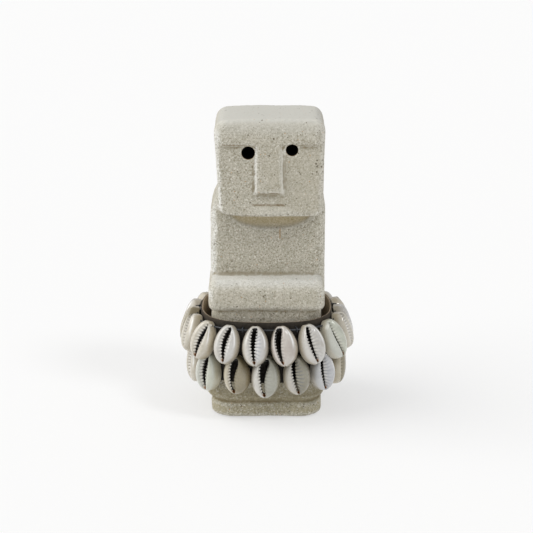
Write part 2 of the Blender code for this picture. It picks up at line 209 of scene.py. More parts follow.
studio = {
    "target": (0.0, 0.0, 75.7 * mm),
    "distance": 0.9,
    "elevation": 15.0,
    "lens": 113.2,
    "floorSize": 60.0,
    "floorColor": (0.42, 0.42, 0.42),
    "floorRoughness": 0.9,
    "floorShine": 0.1,
    "floorGlow": 0.505,  # the paper is lit from below as well, so that shadows stay pale
    "skyColor": (1.0, 1.0, 1.0),
    "skyStrength": 0.52,
}
# Large soft lights: degrees round from the front, height and apparent size in degrees
softLights = {
    "keyLight": {
        "from": -84.0, "height": 41.0, "angle": 64.0, "strength": 1.90, "color": (1.0, 0.99, 0.97),
    },
    "fillLight": {
        "from": 50.0, "height": 50.0, "angle": 14.0, "strength": 0.75, "color": (0.98, 0.99, 1.0),
    },
}


def aim(obj, target):
    direction = Vector(target) - obj.location
    obj.rotation_euler = direction.to_track_quat("-Z", "Y").to_euler()


def makeStudio():
    target = Vector(studio["target"])
    lift = math.radians(studio["elevation"])
    camera = bpy.data.objects.new("camera", bpy.data.cameras.new("camera"))
    scene.collection.objects.link(camera)
    camera.location = target + Vector((0.0, -math.cos(lift), math.sin(lift))) * studio["distance"]
    camera.data.lens = studio["lens"]
    aim(camera, target)
    scene.camera = camera

    for name, spec in softLights.items():
        light = bpy.data.lights.new(name, "SUN")
        light.angle = math.radians(spec["angle"])
        light.energy = spec["strength"]
        light.color = spec["color"]
        lamp = bpy.data.objects.new(name, light)
        scene.collection.objects.link(lamp)
        turn, rise = math.radians(spec["from"]), math.radians(spec["height"])
        lamp.location = (math.sin(turn) * math.cos(rise), -math.cos(turn) * math.cos(rise), math.sin(rise))
        aim(lamp, (0.0, 0.0, 0.0))

    world = bpy.data.worlds.new("studioSky")
    world.use_nodes = True
    sky = world.node_tree.nodes["Background"]
    sky.inputs["Color"].default_value = (*studio["skyColor"], 1.0)
    sky.inputs["Strength"].default_value = studio["skyStrength"]
    scene.world = world
    scene.view_settings.view_transform = "Standard"

    paper = Nodes("floorPaper").finish({
        "Base Color": studio["floorColor"], "Roughness": studio["floorRoughness"],
        "Emission Color": (1.0, 1.0, 1.0), "Emission Strength": studio["floorGlow"],
        "Specular IOR Level": studio["floorShine"],
    })
    bm = bmesh.new()
    bmesh.ops.create_grid(bm, x_segments=2, y_segments=2, size=studio["floorSize"] / 2)
    newObject("floor", meshFrom(bm, "floor"), paper)


makeStudio()
print("studio ready")

stone = {
    "voxel": 0.74 * mm,  # fineness of the carved surface
    "smoothing": 3,
    "handWork": 0.22 * mm,  # how far the carved faces wander
    "grain": 0.10 * mm,
    "headShift": 1.8 * mm,
    "browZ": 146.8 * mm,
    "faceDepth": 1.5 * mm,
    "color": (0.555, 0.522, 0.437),
    "paleColor": (0.550, 0.542, 0.498),
    "lapLitColor": (0.64, 0.635, 0.595),
    # the band's inner face, which the block's corners stay inside of
    "clearReach": 33.55 * mm,
    "clearPower": 2.8,
    "clearFrom": 8.0 * mm,
    "clearTo": 58.0 * mm,
    "clearForGrain": 0.2 * mm,
}
# Each block, in millimetres: lowest corner, highest corner, and how far it is rounded at its sides,
# front, back, top and bottom. "taper" is its width at the bottom as a share of that at the top,
# "corner" 1 cuts the edges flat and 2 rounds them, and "cuts" is how finely its faces are divided.
stoneBlocks = {
    "head": {
        "low": (-28.5, -27.6, 109.0), "high": (28.5, 25.0, 160.0),
        "round": (6.0, 5.5, 6.0, 9.5, 1.6), "topSide": 5.6,
        "taper": 0.925, "taperRight": 0.955, "cuts": 44,
    },
    "chest": {
        "low": (-29.5, -16.0, 59.3), "high": (30.8, 27.0, 118.0),
        "round": (4.0, 3.6, 4.5, 9.5, 0.8), "corner": 1.3, "cuts": 40,
    },
    "lap": {
        "low": (-30.5, -31.0, 58.9), "high": (30.5, 12.0, 75.6),
        "round": (3.4, 6.0, 1.0, 6.5, 3.2), "corner": 1.9, "cuts": 36,
    },
    "block": {
        "low": (-28.7, -28.5, 9.3), "high": (28.7, 28.5, 62.0), "round": (12.2, 12.2, 12.2, 0.5, 1.6),
        "taper": 1.11, "taperRight": 1.075, "cuts": 44,
    },
    "waist": {
        "low": (-28.4, -27.6, 6.0), "high": (28.4, 27.6, 12.0),
        "round": (11.2, 11.2, 11.2, 0.5, 0.5), "cuts": 24,
    },
    "foot": {
        "low": (-29.6, -28.6, 0.0), "high": (29.5, 28.6, 8.4),
        "round": (11.6, 11.6, 11.6, 0.8, 1.3), "taper": 0.985, "cuts": 44,
    },
}
# How the head is worn out of its block's shape. Pairs are where a change starts and is complete.
headWear = {
    "crown": 1.3 * mm,  # how far the top falls towards its ends
    "crownRight": 0.55,  # as a share of the left
    "crownZ": (138 * mm, 158 * mm),
    "chinRise": 1.3 * mm,  # the lower left corner is worn away
    "chinX": (-12 * mm, -28 * mm),
    "chinZ": (122 * mm, 110 * mm),
    "leftBulge": 0.45 * mm,  # the upper left one stands out a little
    "bulgeZ": (126 * mm, 150 * mm),
}
chestWear = {
    "shoulderRise": 3.4 * mm,  # one shoulder is higher than the other
    "riseX": (0.0, 26 * mm),
    "riseZ": (96 * mm, 110 * mm),
    "scoopSize": (23.5 * mm, 4.3 * mm, 12.0 * mm),
    "scoopMiddle": (2.3 * mm, -16.0 * mm, 112.3 * mm),
}
# The nose is a wedge: half width, front and height at its two ends, in millimetres
noseEnds = {"top": (6.1, -27.5, 150.8), "bottom": (7.0, -28.6, 121.9)}
noseRoot = {"flare": 0.7, "back": -24.0, "shift": 1.2}
mouthBox = ((-6.8, -34, 114.4), (9.8, -25.1, 115.9))
eyeHoles = {
    "eyeLeft": {"x": -9.4 * mm, "z": 142.8 * mm, "radius": 3.5 * mm},
    "eyeRight": {"x": 13.1 * mm, "z": 144.3 * mm, "radius": 3.2 * mm},
}
eyeDrill = {"middleY": -26.1 * mm, "length": 24 * mm}
# Dents left by the tools: place, reach and depth, in millimetres
stoneDents = [
    ((-29.8, -14.0, 100.5), 5.0, 1.1),
    ((-30.5, -22.0, 59.6), 3.0, 0.7),
    ((29.5, -26.0, 134.5), 1.3, 0.7),
    ((28.6, -27.2, 132.0), 1.0, 0.6),
    ((28.9, -26.4, 137.0), 0.9, 0.5),
    ((-22.5, -26.3, 141.0), 0.9, 0.4),
    ((-19.5, -26.3, 127.0), 1.0, 0.4),
    ((29.3, -24.0, 12.0), 1.6, 0.7),
    ((-6.0, -28.4, 3.2), 1.2, 0.3),
    ((3.0, -28.8, 150.0), 0.8, 0.4),
    ((14.0, -31.0, 64.0), 0.9, 0.35),
    ((-12.0, -28.6, 13.5), 1.0, 0.35),
]


def roundedBlock(spec):
    low, high = Vector(spec["low"]) * mm, Vector(spec["high"]) * mm
    middle, half = (low + high) / 2, (high - low) / 2
    side, front, back, top, bottom = spec["round"]
    power = spec.get("corner", 2.0)
    bm = bmesh.new()
    bmesh.ops.create_cube(bm, size=2)
    bmesh.ops.subdivide_edges(bm, edges=bm.edges[:], cuts=spec["cuts"], use_grid_fill=True)
    for vert in bm.verts:
        at = vert.co
        place = Vector([at[i] * half[i] for i in range(3)])
        reach = Vector((side, front if at.y < 0 else back, top if at.z > 0 else bottom)) * mm
        inner = Vector([clamp(place[i], reach[i] - half[i], half[i] - reach[i]) for i in range(3)])
        out = Vector([(place[i] - inner[i]) / reach[i] for i in range(3)])
        if at.z > 0 and "topSide" in spec and abs(out.x) + abs(out.y) > 1e-6:
            # the edges above the sides are rounded less than those above front and back
            sideways = out.x ** 2 / (out.x ** 2 + out.y ** 2)
            reach.z = (top + (spec["topSide"] - top) * sideways) * mm
            inner.z = clamp(place.z, reach.z - half.z, half.z - reach.z)
            out.z = (place.z - inner.z) / reach.z
        size = sum(abs(c) ** power for c in out) ** (1 / power)
        if size > 1e-6:
            out /= size
        place = inner + Vector([out[i] * reach[i] for i in range(3)])
        share = (place.z + half.z) / (2 * half.z)
        taper = spec.get("taper", 1.0)
        if place.x > 0:
            taper = spec.get("taperRight", taper)
        place.x *= taper + (1 - taper) * share
        vert.co = place + middle
    return bm


def wedgeNose():
    # flush with the forehead above, proud and square-cut below, wider where it meets the face
    bm = bmesh.new()
    bmesh.ops.create_cube(bm, size=2)
    for vert in bm.verts:
        half, front, height = noseEnds["top" if vert.co.z > 0 else "bottom"]
        if vert.co.y > 0:
            half, front = half + noseRoot["flare"], noseRoot["back"]
        vert.co = Vector((vert.co.x * half + noseRoot["shift"], front, height)) * mm
    return bm


def boxTool(name, low, high):
    bm = bmesh.new()
    bmesh.ops.create_cube(bm, size=1)
    low, high = Vector(low) * mm, Vector(high) * mm
    for vert in bm.verts:
        for axis in range(3):
            vert.co[axis] = high[axis] if vert.co[axis] > 0 else low[axis]
    return newObject(name, meshFrom(bm, name))


def carveHead():
    block = stoneBlocks["head"]
    head = newObject("head", meshFrom(roundedBlock(block), "head"))
    for vert in head.data.vertices:
        aside = abs(vert.co.x) / (block["high"][0] * mm)
        fall = headWear["crown"] * aside ** 3 * (1.0 if vert.co.x < 0 else headWear["crownRight"])
        vert.co.z -= fall * smoothStep(*headWear["crownZ"], vert.co.z)
        if vert.co.y < 0:
            worn = smoothStep(*headWear["chinX"], vert.co.x) * smoothStep(*headWear["chinZ"], vert.co.z)
            vert.co.z += headWear["chinRise"] * worn
        if vert.co.x < 0:
            vert.co.x -= headWear["leftBulge"] * smoothStep(*headWear["bulgeZ"], vert.co.z)
    head.data.transform(Matrix.Translation((stone["headShift"], 0, 0)))
    # the face lies a little behind the brow
    faceY = block["low"][1] + stone["faceDepth"] / mm
    carve(head, boxTool("faceTool", (-34, -40, 100), (34, faceY, stone["browZ"] / mm)))
    carve(head, newObject("nose", meshFrom(wedgeNose(), "nose")), "UNION")
    carve(head, boxTool("mouthTool", *mouthBox))
    return head


def carveChest():
    chest = newObject("chest", meshFrom(roundedBlock(stoneBlocks["chest"]), "chest"))
    for vert in chest.data.vertices:
        rise = smoothStep(*chestWear["riseX"], vert.co.x) * smoothStep(*chestWear["riseZ"], vert.co.z)
        vert.co.z += chestWear["shoulderRise"] * rise
    bm = bmesh.new()
    bmesh.ops.create_uvsphere(bm, u_segments=48, v_segments=32, radius=1)
    bmesh.ops.scale(bm, verts=bm.verts, vec=chestWear["scoopSize"])
    bmesh.ops.translate(bm, verts=bm.verts, vec=chestWear["scoopMiddle"])
    carve(chest, newObject("scoopTool", meshFrom(bm, "scoopTool")))
    return chest


def wornSurface(bm):
    # slow waves from the carving, a fine grain, and the dents
    bm.normal_update()
    dents = [(Vector(place) * mm, reach * mm, depth * mm) for place, reach, depth in stoneDents]
    moves = []
    for vert in bm.verts:
        at = vert.co
        wave = noise.noise(at / (17 * mm)) + 0.5 * noise.noise(at / (7 * mm) + Vector((5, 0, 0)))
        fine = noise.noise(at / (1.9 * mm)) + 0.6 * noise.noise(at / (1.1 * mm) + Vector((0, 9, 0)))
        move = wave * stone["handWork"] + fine * stone["grain"]
        for place, reach, depth in dents:
            away = (at - place).length
            if away < reach:
                move -= depth * (1 - (away / reach) ** 2) ** 2
        moves.append(move)
    for vert, move in zip(bm.verts, moves):
        if vert.co.z > 0.3 * mm:  # the foot stays flat
            vert.co += vert.normal * move
        vert.co.z = clamp(vert.co.z, 0.0, stoneBlocks["head"]["high"][2] * mm)


def hollowness(mesh):
    # how deep each point lies in a crease, from 0 to 1, kept with the mesh for dust and shade
    bm = bmesh.new()
    bm.from_mesh(mesh)
    bm.normal_update()
    values = []
    for vert in bm.verts:
        around = [edge.other_vert(vert).co for edge in vert.link_edges]
        middle = sum(around, Vector()) / len(around)
        values.append((middle - vert.co).dot(vert.normal) / mm)
    for _ in range(3):
        values = [
            0.5 * values[v.index]
            + 0.5 * sum(values[e.other_vert(v).index] for e in v.link_edges) / len(v.link_edges)
            for v in bm.verts
        ]
    bm.free()
    keepValues(mesh, "hollow", [clamp(0.5 + v * 6.0, 0.0, 1.0) for v in values])


# Noises of the stone: size, detail, roughness, and how the pattern is turned
stoneNoises = {
    "grains": (0.85 * mm, 4.0, 0.8),
    "coarse": (2.1 * mm, 3.0, 0.7, (0.5, 0.9, 0.2)),
    "clouds": (16 * mm, 3.0, 0.6),
    "bright": (0.9 * mm, 3.0, 0.75, (1.1, 0.3, 0.0)),
    "pitSize": (2.6 * mm, 1.0, 0.5, (0.4, 0.2, 0.9)),
    "wander": (3 * mm, 3.0, 0.7),
}
# Tints laid over the stone's own color, each with its strength
stonePaint = {
    "cloud": ((0.515, 0.488, 0.405), 1.0),
    "calm": ((0.43, 0.395, 0.305), 0.30),
    "lowShade": ((0.36, 0.315, 0.18), 0.62),
    "leftCornerLight": ((0.85, 0.85, 0.82), 0.88),
    "rightCornerLight": ((0.80, 0.79, 0.74), 0.34),
    "edge": ((0.68, 0.66, 0.59), 0.5),
    "darkGrain": ((0.215, 0.19, 0.125), 0.78),
    "patch": ((0.30, 0.275, 0.20), 0.36),
    "brightGrain": ((0.93, 0.91, 0.85), 0.58),
    "pit": ((0.12, 0.10, 0.06), 0.80),
    "ochreSpeck": ((0.50, 0.26, 0.09), 0.5),
    "crease": ((0.23, 0.19, 0.115), 0.72),
    "chinShade": ((0.63, 0.50, 0.25), 0.42),
    "shadeOverGroove": ((0.225, 0.19, 0.11), 1.0),
    "contactShadow": ((0.12, 0.10, 0.065), 0.65),
    "rustLine": ((0.36, 0.20, 0.07), 0.80),
    "eyeRim": ((0.33, 0.21, 0.085), 0.90),
    "eyeHoleShade": ((0.003, 0.003, 0.003), 1.0),
}
# Marks on the front, in millimetres: middle x and z, half sizes and softness along both, then tint
# and strength. The carved lines hold brown painted shade with some dust; the nose's left edge and the
# lower lip carry painted highlights, and the nose's right edge is a paler strip.
lineShadeAndDust, paleEdge, lipHighlight = (0.21, 0.155, 0.085), (0.80, 0.785, 0.72), (0.70, 0.68, 0.60)
frontMarks = {
    "leftBrow": (-15.8, 147.0, 7.0, 0.15, 0.50, 0.50, lineShadeAndDust, 0.78),
    "rightBrow": (20.6, 147.1, 4.8, 0.12, 0.45, 0.45, lineShadeAndDust, 0.50),
    "noseEnd": (1.1, 121.7, 5.4, 0.12, 0.50, 0.50, lineShadeAndDust, 0.95),
    "noseSide": (9.7, 137.2, 0.10, 4.4, 0.45, 0.45, lineShadeAndDust, 0.60),
    "mouthLine": (1.0, 115.4, 8.2, 0.25, 0.60, 0.60, lineShadeAndDust, 0.90),
    "groove": (-10.0, 8.8, 15.5, 0.28, 0.45, 0.45, lineShadeAndDust, 0.95),
    "chinLeft": (-12.0, 109.6, 8.0, 0.25, 0.80, 0.80, lineShadeAndDust, 0.35),
    "noseRightEdge": (8.7, 133.0, 0.7, 10.5, 0.6, 2.5, paleEdge, 0.50),
    "noseLeftHighlight": (-5.3, 133.0, 0.15, 10.5, 0.30, 2.5, paleEdge, 0.60),
    "lowerLip": (3.0, 112.3, 6.0, 1.0, 9.0, 1.4, lipHighlight, 0.32),
}


def stoneMaterial():
    m = Nodes("carvedStone", stone["color"], stonePaint)
    x, y, z = m.split(m.coords)
    aside, behind, up = m.split(m.add("NewGeometry", {}, "Normal"))
    grains, coarse, clouds = (m.noise(*stoneNoises[n]) for n in ("grains", "coarse", "clouds"))
    hollow = m.attribute("hollow")
    front = m.below(y, -19 * mm)
    smoothLitTop = m.ramp(up, 0.12, 0.95)
    rough = m.minus(1.0, m.times(smoothLitTop, 0.50))
    rough = m.minus(rough, m.fade(z, 146, 157, 0.0, 0.40))
    # the right half of the face is calmer, and so is the lap
    calm = m.times(m.fade(x, -7, 8), m.fade(z, 148, 144), m.above(z, 112 * mm))
    calmLap = m.times(m.fade(z, 80, 76), m.fade(z, 57, 60, 0.0, 0.6))
    calm = m.math("MAXIMUM", calm, calmLap)
    rough = m.times(rough, m.minus(1.0, m.times(calm, 0.34)))

    m.lay(m.ramp(clouds, 0.35, 0.70), "cloud")
    # upward faces and the crown are paler: partly smoother stone, partly painted light from above, most on
    # the lap's top
    pale = m.mix(m.below(z, 90 * mm), stone["paleColor"], stone["lapLitColor"])
    m.lay(m.math("MAXIMUM", smoothLitTop, m.fade(z, 149, 157, 0.0, 0.55)), pale)
    m.lay(m.times(calm, m.fade(z, 76, 110)), "calm")
    # painted shade, darker towards the bottom of the block, under the band and the shells
    m.lay(m.fade(z, 28, 12), "lowShade")
    # painted light on the front corners, strongest on the left one, which faces the main lamp
    corner = m.times(m.ramp(behind, -0.04, -0.32), m.fade(z, 62, 70), m.ramp(up, 0.55, 0.10))
    m.lay(m.times(m.ramp(aside, -0.22, -0.70), corner), "leftCornerLight")
    m.lay(m.times(m.ramp(aside, 0.35, 0.85), corner), "rightCornerLight")
    m.lay(m.ramp(hollow, 0.45, 0.25), "edge")
    m.lay(m.times(m.ramp(grains, 0.53, 0.40), rough), "darkGrain")
    m.lay(m.times(m.ramp(coarse, 0.54, 0.36), rough), "patch")
    bright = m.ramp(m.noise(*stoneNoises["bright"]), 0.53, 0.66)
    m.lay(m.times(bright, rough), "brightGrain")

    # pits: single dark grains, denser on the right of the face
    denser = m.times(m.fade(x, 22.5, 26.5), front)
    denser = m.times(denser, m.fade(m.away(z, 136.8 * mm), 7, 3))
    pitSize = m.plus(m.noise(*stoneNoises["pitSize"]), m.times(denser, 0.42))
    pits = m.below(m.cells(1.7 * mm), m.ramp(pitSize, 0.52, 0.78, 0.0, 0.36))
    m.lay(pits, "pit")
    specks = m.below(m.cells(4.2 * mm, (0.2, 0.7, 0.4)), 0.085)
    m.lay(specks, "ochreSpeck")

    wander = m.times(m.minus(m.noise(*stoneNoises["wander"]), 0.5), 1.3 * mm)
    uneven = m.ramp(coarse, 0.68, 0.34, 0.35, 1.0)
    # painted shade in the carved lines, and painted highlights on the nose's left edge and the lower lip
    for middleX, middleZ, halfX, halfZ, softX, softZ, tint, strength in frontMarks.values():
        mask = m.times(front, uneven) if tint is lineShadeAndDust else front
        for place, middle, half, soft in ((x, middleX, halfX, softX), (z, middleZ, halfZ, softZ)):
            place = m.plus(place, wander) if tint is lineShadeAndDust else place
            mask = m.times(mask, m.fade(m.away(place, middle * mm), half + soft, half))
        m.lay(mask, tint, strength)
    # painted shade, with some dust, in the creases
    m.lay(m.ramp(hollow, 0.56, 0.82), "crease")
    # painted shade, ochre-tinted, in the hollow under the chin
    chinShade = m.times(m.fade(z, 99, 104), m.below(z, 118 * mm))
    chinShade = m.times(chinShade, m.fade(y, -16.1, -14.2), m.below(y, -10 * mm))
    chinShade = m.times(chinShade, m.fade(m.away(x, 2.3 * mm), 26, 20))
    m.lay(chinShade, "chinShade")
    # painted shade in blotches just above the foot's groove, under the shells, and a painted contact shadow
    # along the ground
    shadeOverGroove = m.times(m.fade(z, 19, 12), m.above(z, 8.4 * mm))
    shadeOverGroove = m.times(shadeOverGroove, m.ramp(coarse, 0.70, 0.30, 0.25, 0.75))
    m.lay(shadeOverGroove, "shadeOverGroove")
    m.lay(m.fade(z, 1.7, 0.3), "contactShadow")

    # a hairline of rust in the chest
    line = m.fade(m.away(m.plus(x, wander), 7.1 * mm), 0.42, 0.08)
    line = m.times(line, m.fade(m.away(z, 98.0 * mm), 3.4, 2.0))
    m.lay(m.times(line, m.below(y, -9 * mm)), "rustLine")

    # the drilled eyes: an ochre lip, then painted shade, black, deeper in
    for hole in eyeHoles.values():
        squares = [m.math("POWER", m.minus(place, hole[axis]), 2.0) for place, axis in ((x, "x"), (z, "z"))]
        inside = m.below(m.math("SQRT", m.plus(*squares)), hole["radius"] * 1.012)
        inside = m.times(inside, m.below(y, 0.0))
        m.lay(inside, "eyeRim")
        m.lay(m.times(inside, m.fade(y, -26.2, -24.4)), "eyeHoleShade")

    height = m.times(m.plus(m.times(grains, 0.7), m.times(coarse, 0.7)), rough)
    height = m.minus(height, m.times(pits, 0.35))
    return m.finish({
        "Base Color": m.color, "Roughness": m.ramp(grains, 0.3, 0.7, 0.98, 0.88),
        "Normal": m.bump(height, 0.85, 0.5 * mm), "Specular IOR Level": 0.18,
    })


def clearOfBand(bm, gap):
    # the band slides over the block, so its corners are worn back to the band's inner face
    power = stone["clearPower"]
    for vert in bm.verts:
        if stone["clearFrom"] < vert.co.z < stone["clearTo"]:
            reach = (abs(vert.co.x) ** power + abs(vert.co.y) ** power) ** (1 / power)
            share = min(1.0, (stone["clearReach"] - gap) / reach)
            vert.co.x *= share
            vert.co.y *= share


def makeStone():
    blocks = bmesh.new()
    for name in ("lap", "block", "waist", "foot"):
        mesh = meshFrom(roundedBlock(stoneBlocks[name]), name)
        blocks.from_mesh(mesh)
        bpy.data.meshes.remove(mesh)
    for piece in (carveHead(), carveChest()):
        blocks.from_mesh(piece.data)
        bpy.data.objects.remove(piece)
    figure = newObject("carvedStone", meshFrom(blocks, "carvedStone"))
    remesh = figure.modifiers.new("voxels", "REMESH")
    remesh.mode = "VOXEL"
    remesh.voxel_size = stone["voxel"]
    applied(figure)

    bm = bmesh.new()
    bm.from_mesh(figure.data)
    for _ in range(stone["smoothing"]):
        bmesh.ops.smooth_vert(
            bm, verts=bm.verts, factor=0.5, use_axis_x=True, use_axis_y=True, use_axis_z=True,
        )
    clearOfBand(bm, stone["clearForGrain"])
    wornSurface(bm)
    clearOfBand(bm, 0.0)
    bm.to_mesh(figure.data)
    bm.free()

    for hole in eyeHoles.values():
        bm = bmesh.new()
        bmesh.ops.create_cone(
            bm, cap_ends=True, segments=40, depth=eyeDrill["length"],
            radius1=hole["radius"], radius2=hole["radius"],
        )
        bmesh.ops.rotate(bm, verts=bm.verts, matrix=Matrix.Rotation(math.pi / 2, 3, "X"))
        bmesh.ops.translate(bm, verts=bm.verts, vec=(hole["x"], eyeDrill["middleY"], hole["z"]))
        carve(figure, newObject("drill", meshFrom(bm, "drill")), solver="MANIFOLD")
    hollowness(figure.data)
    figure.data.materials.clear()
    figure.data.materials.append(stoneMaterial())
    figure.data.shade_smooth()
    finishPiece(figure, "stone_figure", "stone")
    print("stone figure:", len(figure.data.polygons), "faces")


makeStone()

bandLow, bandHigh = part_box("waist_band")
# The line that the band, the cords and the shells follow
ringShape = {
    "half": 35.32 * mm,
    "power": 2.8,
    "step": 4.0 * mm,  # shells are spaced evenly this far outside the band
    "samples": 1440,
}
# "lean" and "turn" are degrees about the shell's own front and upright axes, "tilt" is how far its
# lower end stands out, "push" is millimetres along the cord, and "size" is a share.
rows = {
    "upper": {
        "halfLength": 10.8 * mm, "halfWidth": 6.95 * mm,
        "cordZ": bandHigh.z - 3.7 * mm, "cordOut": 1.85 * mm,
        "phase": 1.75 * mm, "between": 0.5, "tilt": 19.0, "count": 18,
        "lean": (-6, -8, -8, -4, -3, 2, -3, 1, 2, -1, 3, -2, -1, 2, 1, 6, 5, 1),
        "turn": (0, -4, -16, -12, -6, 0, 3, 0, -2, 2, 0, -3, 0, 6, 12, 16, 4, 0),
        "push": (-1.4, -1, -0.5, -0.4, -0.2, 0, 0, 0, 0, 0, 0, 0, 0, 0, 0.1, -0.4, -0.1, -0.3),
        "size": (
            1.02, 1.03, 1.03, 0.98, 1, 0.97, 1, 0.98, 0.97, 1, 0.97, 0.98, 1, 0.97, 0.98, 1, 0.99, 1.01,
        ),
    },
    "lower": {
        "halfLength": 11.35 * mm, "halfWidth": 7.45 * mm,
        "cordZ": bandHigh.z - 19.7 * mm, "cordOut": 1.6 * mm,
        "phase": -0.6 * mm, "between": 0.0, "tilt": 2.5, "count": 16,
        "lean": (1, -4, -3, 2, 3, -2, 1, -1, 2, -3, 1, 2, -2, 1, 2, -4),
        "turn": (0, -3, -14, -8, 0, 2, 0, -2, 0, 2, 0, -2, 0, 8, 14, 3),
        "push": (0, -0.2, 0, 0, 0, 0, 0, 0, 0, 0, 0, 0, 0, 0, -0.7, 0),
        "size": (1.04, 0.98, 0.97, 1, 0.96, 0.98, 1, 0.97, 1, 0.98, 0.96, 1, 0.98, 0.97, 1, 0.96),
    },
}


def ringTable():
    # length so far, point and outward normal, all the way round
    table, length, last = [], 0.0, None
    power = ringShape["power"]
    for i in range(ringShape["samples"] + 1):
        turn = 2 * math.pi * i / ringShape["samples"]
        x, y = math.sin(turn), -math.cos(turn)
        reach = ringShape["half"] / (abs(x) ** power + abs(y) ** power) ** (1 / power)
        point = Vector((x * reach, y * reach, 0.0))
        slope = Vector((x * abs(x) ** (power - 2), y * abs(y) ** (power - 2), 0.0)).normalized()
        outside = point + slope * ringShape["step"]
        if last is not None:
            length += (outside - last).length
        last = outside
        table.append((length, point, slope))
    return table


ring = ringTable()
ringLength = ring[-1][0]


def ringAt(length):
    length %= ringLength
    after = bisect.bisect_right(ring, length, hi=len(ring) - 1, key=lambda entry: entry[0])
    (lengthA, pointA, normalA), (lengthB, pointB, normalB) = ring[after - 1], ring[after]
    share = (length - lengthA) / (lengthB - lengthA)
    return pointA.lerp(pointB, share), normalA.lerp(normalB, share).normalized()


def ringFrame(length, out, height):
    # X along the band, -Y outwards, Z up
    point, normal = ringAt(length)
    along = Vector((-normal.y, normal.x, 0.0))
    place = point + normal * out
    place.z = height
    turned = Matrix((along, -normal, Vector((0.0, 0.0, 1.0)))).transposed()
    return Matrix.Translation(place) @ turned.to_4x4()


def shellLength(row, number):
    return (number + row["between"]) * ringLength / row["count"] + row["phase"]


def gapLength(row, number):
    return shellLength(row, number - 0.5)


def knotGap(row):
    return math.ceil(row["count"] / 2 - row["between"] + 0.5)


cowrie = {
    "around": 88,  # points down each lip
    "teeth": 12,
    "top": 2.8 * mm,  # from the cord up to the tip
    "wall": 1.25 * mm,
    "height": 6.6 * mm,
    "back": 0.6 * mm,
    "egg": 0.10,
}
# How each kind of shell opens: the slit's middle at its top, half way and lower end, as a share of
# the half width; its width there in millimetres; how far the teeth stand out on the left and the
# right lip; how far they run over the right side as ribs; how much wider that side is
cowrieKinds = {
    "straight": ((0.0, -0.14, 0.02), (3.6, 2.8, 1.0), 1.0, 0.9, 0.5, 0.02),
    "slanted": ((0.24, -0.08, 0.06), (3.2, 3.0, 1.0), 1.0, 0.7, 0.6, 0.0),
    "leaning": ((0.46, 0.0, -0.14), (3.3, 2.9, 1.1), 1.0, 0.7, 0.3, 0.0),
    "smooth": ((-0.14, -0.38, -0.18), (4.0, 2.9, 0.9), 0.8, 0.12, 0.0, 0.10),
    "ribbed": ((-0.18, -0.24, 0.04), (2.9, 2.1, 0.9), 1.0, 0.45, 0.9, 0.03),
    "gaping": ((0.05, -0.20, 0.0), (5.6, 3.0, 1.2), 0.9, 0.15, 0.0, 0.05),
    "open": ((0.20, -0.22, -0.18), (5.2, 3.0, 1.1), 0.9, 0.15, 0.0, 0.05),
    "narrow": ((-0.36, -0.12, 0.24), (1.6, 1.2, 0.8), 0.9, 0.6, 0.35, 0.0),
}


def throughThree(values, t):
    # a smooth line through the values at t = 0, 0.5 and 1
    a, b, c = values
    return a * (1 - t) * (1 - 2 * t) + 4 * b * t * (1 - t) + c * t * (2 * t - 1)


def cowriePoint(kind, row, side, share, across, layer):
    # share runs down one lip from the top end (0) to the lower end (1), across from lip (0) to rim (1)
    slits, widths, left, right, ribs, full = kind
    halfLength, halfWidth = row["halfLength"], row["halfWidth"]
    along = 1 - 2 * share
    ends = max(0.0, 1 - abs(along) ** 9) ** 0.5
    toothWave = abs(2 * ((cowrie["teeth"] * share) % 1.0) - 1) ** 1.25
    toothed, ribs = (left, 0.45 * left) if side < 0 else (right, ribs)
    calm = smoothStep(0.0, 0.09, share) * smoothStep(1.0, 0.92, share)

    middle = throughThree(slits, share) * halfWidth
    width = throughThree(widths, share) * mm * ends * 0.5
    tooth = toothed * min(0.85 * mm, 0.70 * width) * toothWave * calm * (1 - smoothStep(0.0, 0.075, across))
    slitX = middle + side * max(0.09 * mm, width)
    slitZ = halfLength * (0.84 * along if along > 0 else 0.89 * along)

    turn = math.pi / 2 * along
    rimZ = halfLength * math.sin(turn)
    if along > 0:
        rimZ -= 0.65 * mm * max(0.0, 1 - (1 - along) / 0.22)  # the tip is cut off short
    else:
        rimZ += 0.75 * mm * max(0.0, 1 - (1 + along) / 0.05) ** 2  # a notch where the slit runs out
    rimX = side * halfWidth * (1 - cowrie["egg"] * math.sin(turn)) * max(0.0, math.cos(turn)) ** 1.10
    rimX *= 1 + side * full

    x = slitX + (rimX - slitX) * across
    z = slitZ + (rimZ - slitZ) * across
    if layer in ("outer", "throat", "deep"):
        x -= side * tooth
    lengthShare = min(1.0, abs(slitZ) / halfLength)
    crest = cowrie["height"] * (1 - lengthShare ** 2.5) ** 0.46
    # each lip swells, then rolls down into the slit on one side and out to the rim on the other
    swell, power, fall = (0.36, 2.5, 0.27) if side > 0 else (0.27, 2.1, 0.24)
    if across < swell:
        dome = crest * (1 - fall * ends * (1 - across / swell) ** 2)
    else:
        dome = crest * max(0.0, 1 - ((across - swell) / (1 - swell)) ** power) ** 0.56
    if layer == "outer":
        ribReach = 1 - smoothStep(0.10, 0.62 if side > 0 else 0.40, across)
        dome += ribs * 0.30 * mm * (toothWave - 0.4) * ribReach * calm
    return x, dome, z


# The stations go from the lip to the rim, round the cut back and up the inside
outerStations = (
    0.0, 0.025, 0.055, 0.09, 0.135, 0.19, 0.26, 0.34, 0.43, 0.53, 0.64, 0.75, 0.85, 0.925, 0.97, 0.995,
)
shellStations = [("outer", s) for s in outerStations] + [("rim", 1.0), ("rimIn", 1.0)]
shellStations += [("inner", s) for s in (0.93, 0.80, 0.6, 0.35, 0.12)] + [("deep", 0.0), ("throat", 0.0)]
# How far inside the shell each layer counts as, for its shade
shellInside = {"outer": 0.0, "rim": 0.0, "rimIn": 0.55, "inner": 1.0, "deep": 1.0, "throat": 0.85}


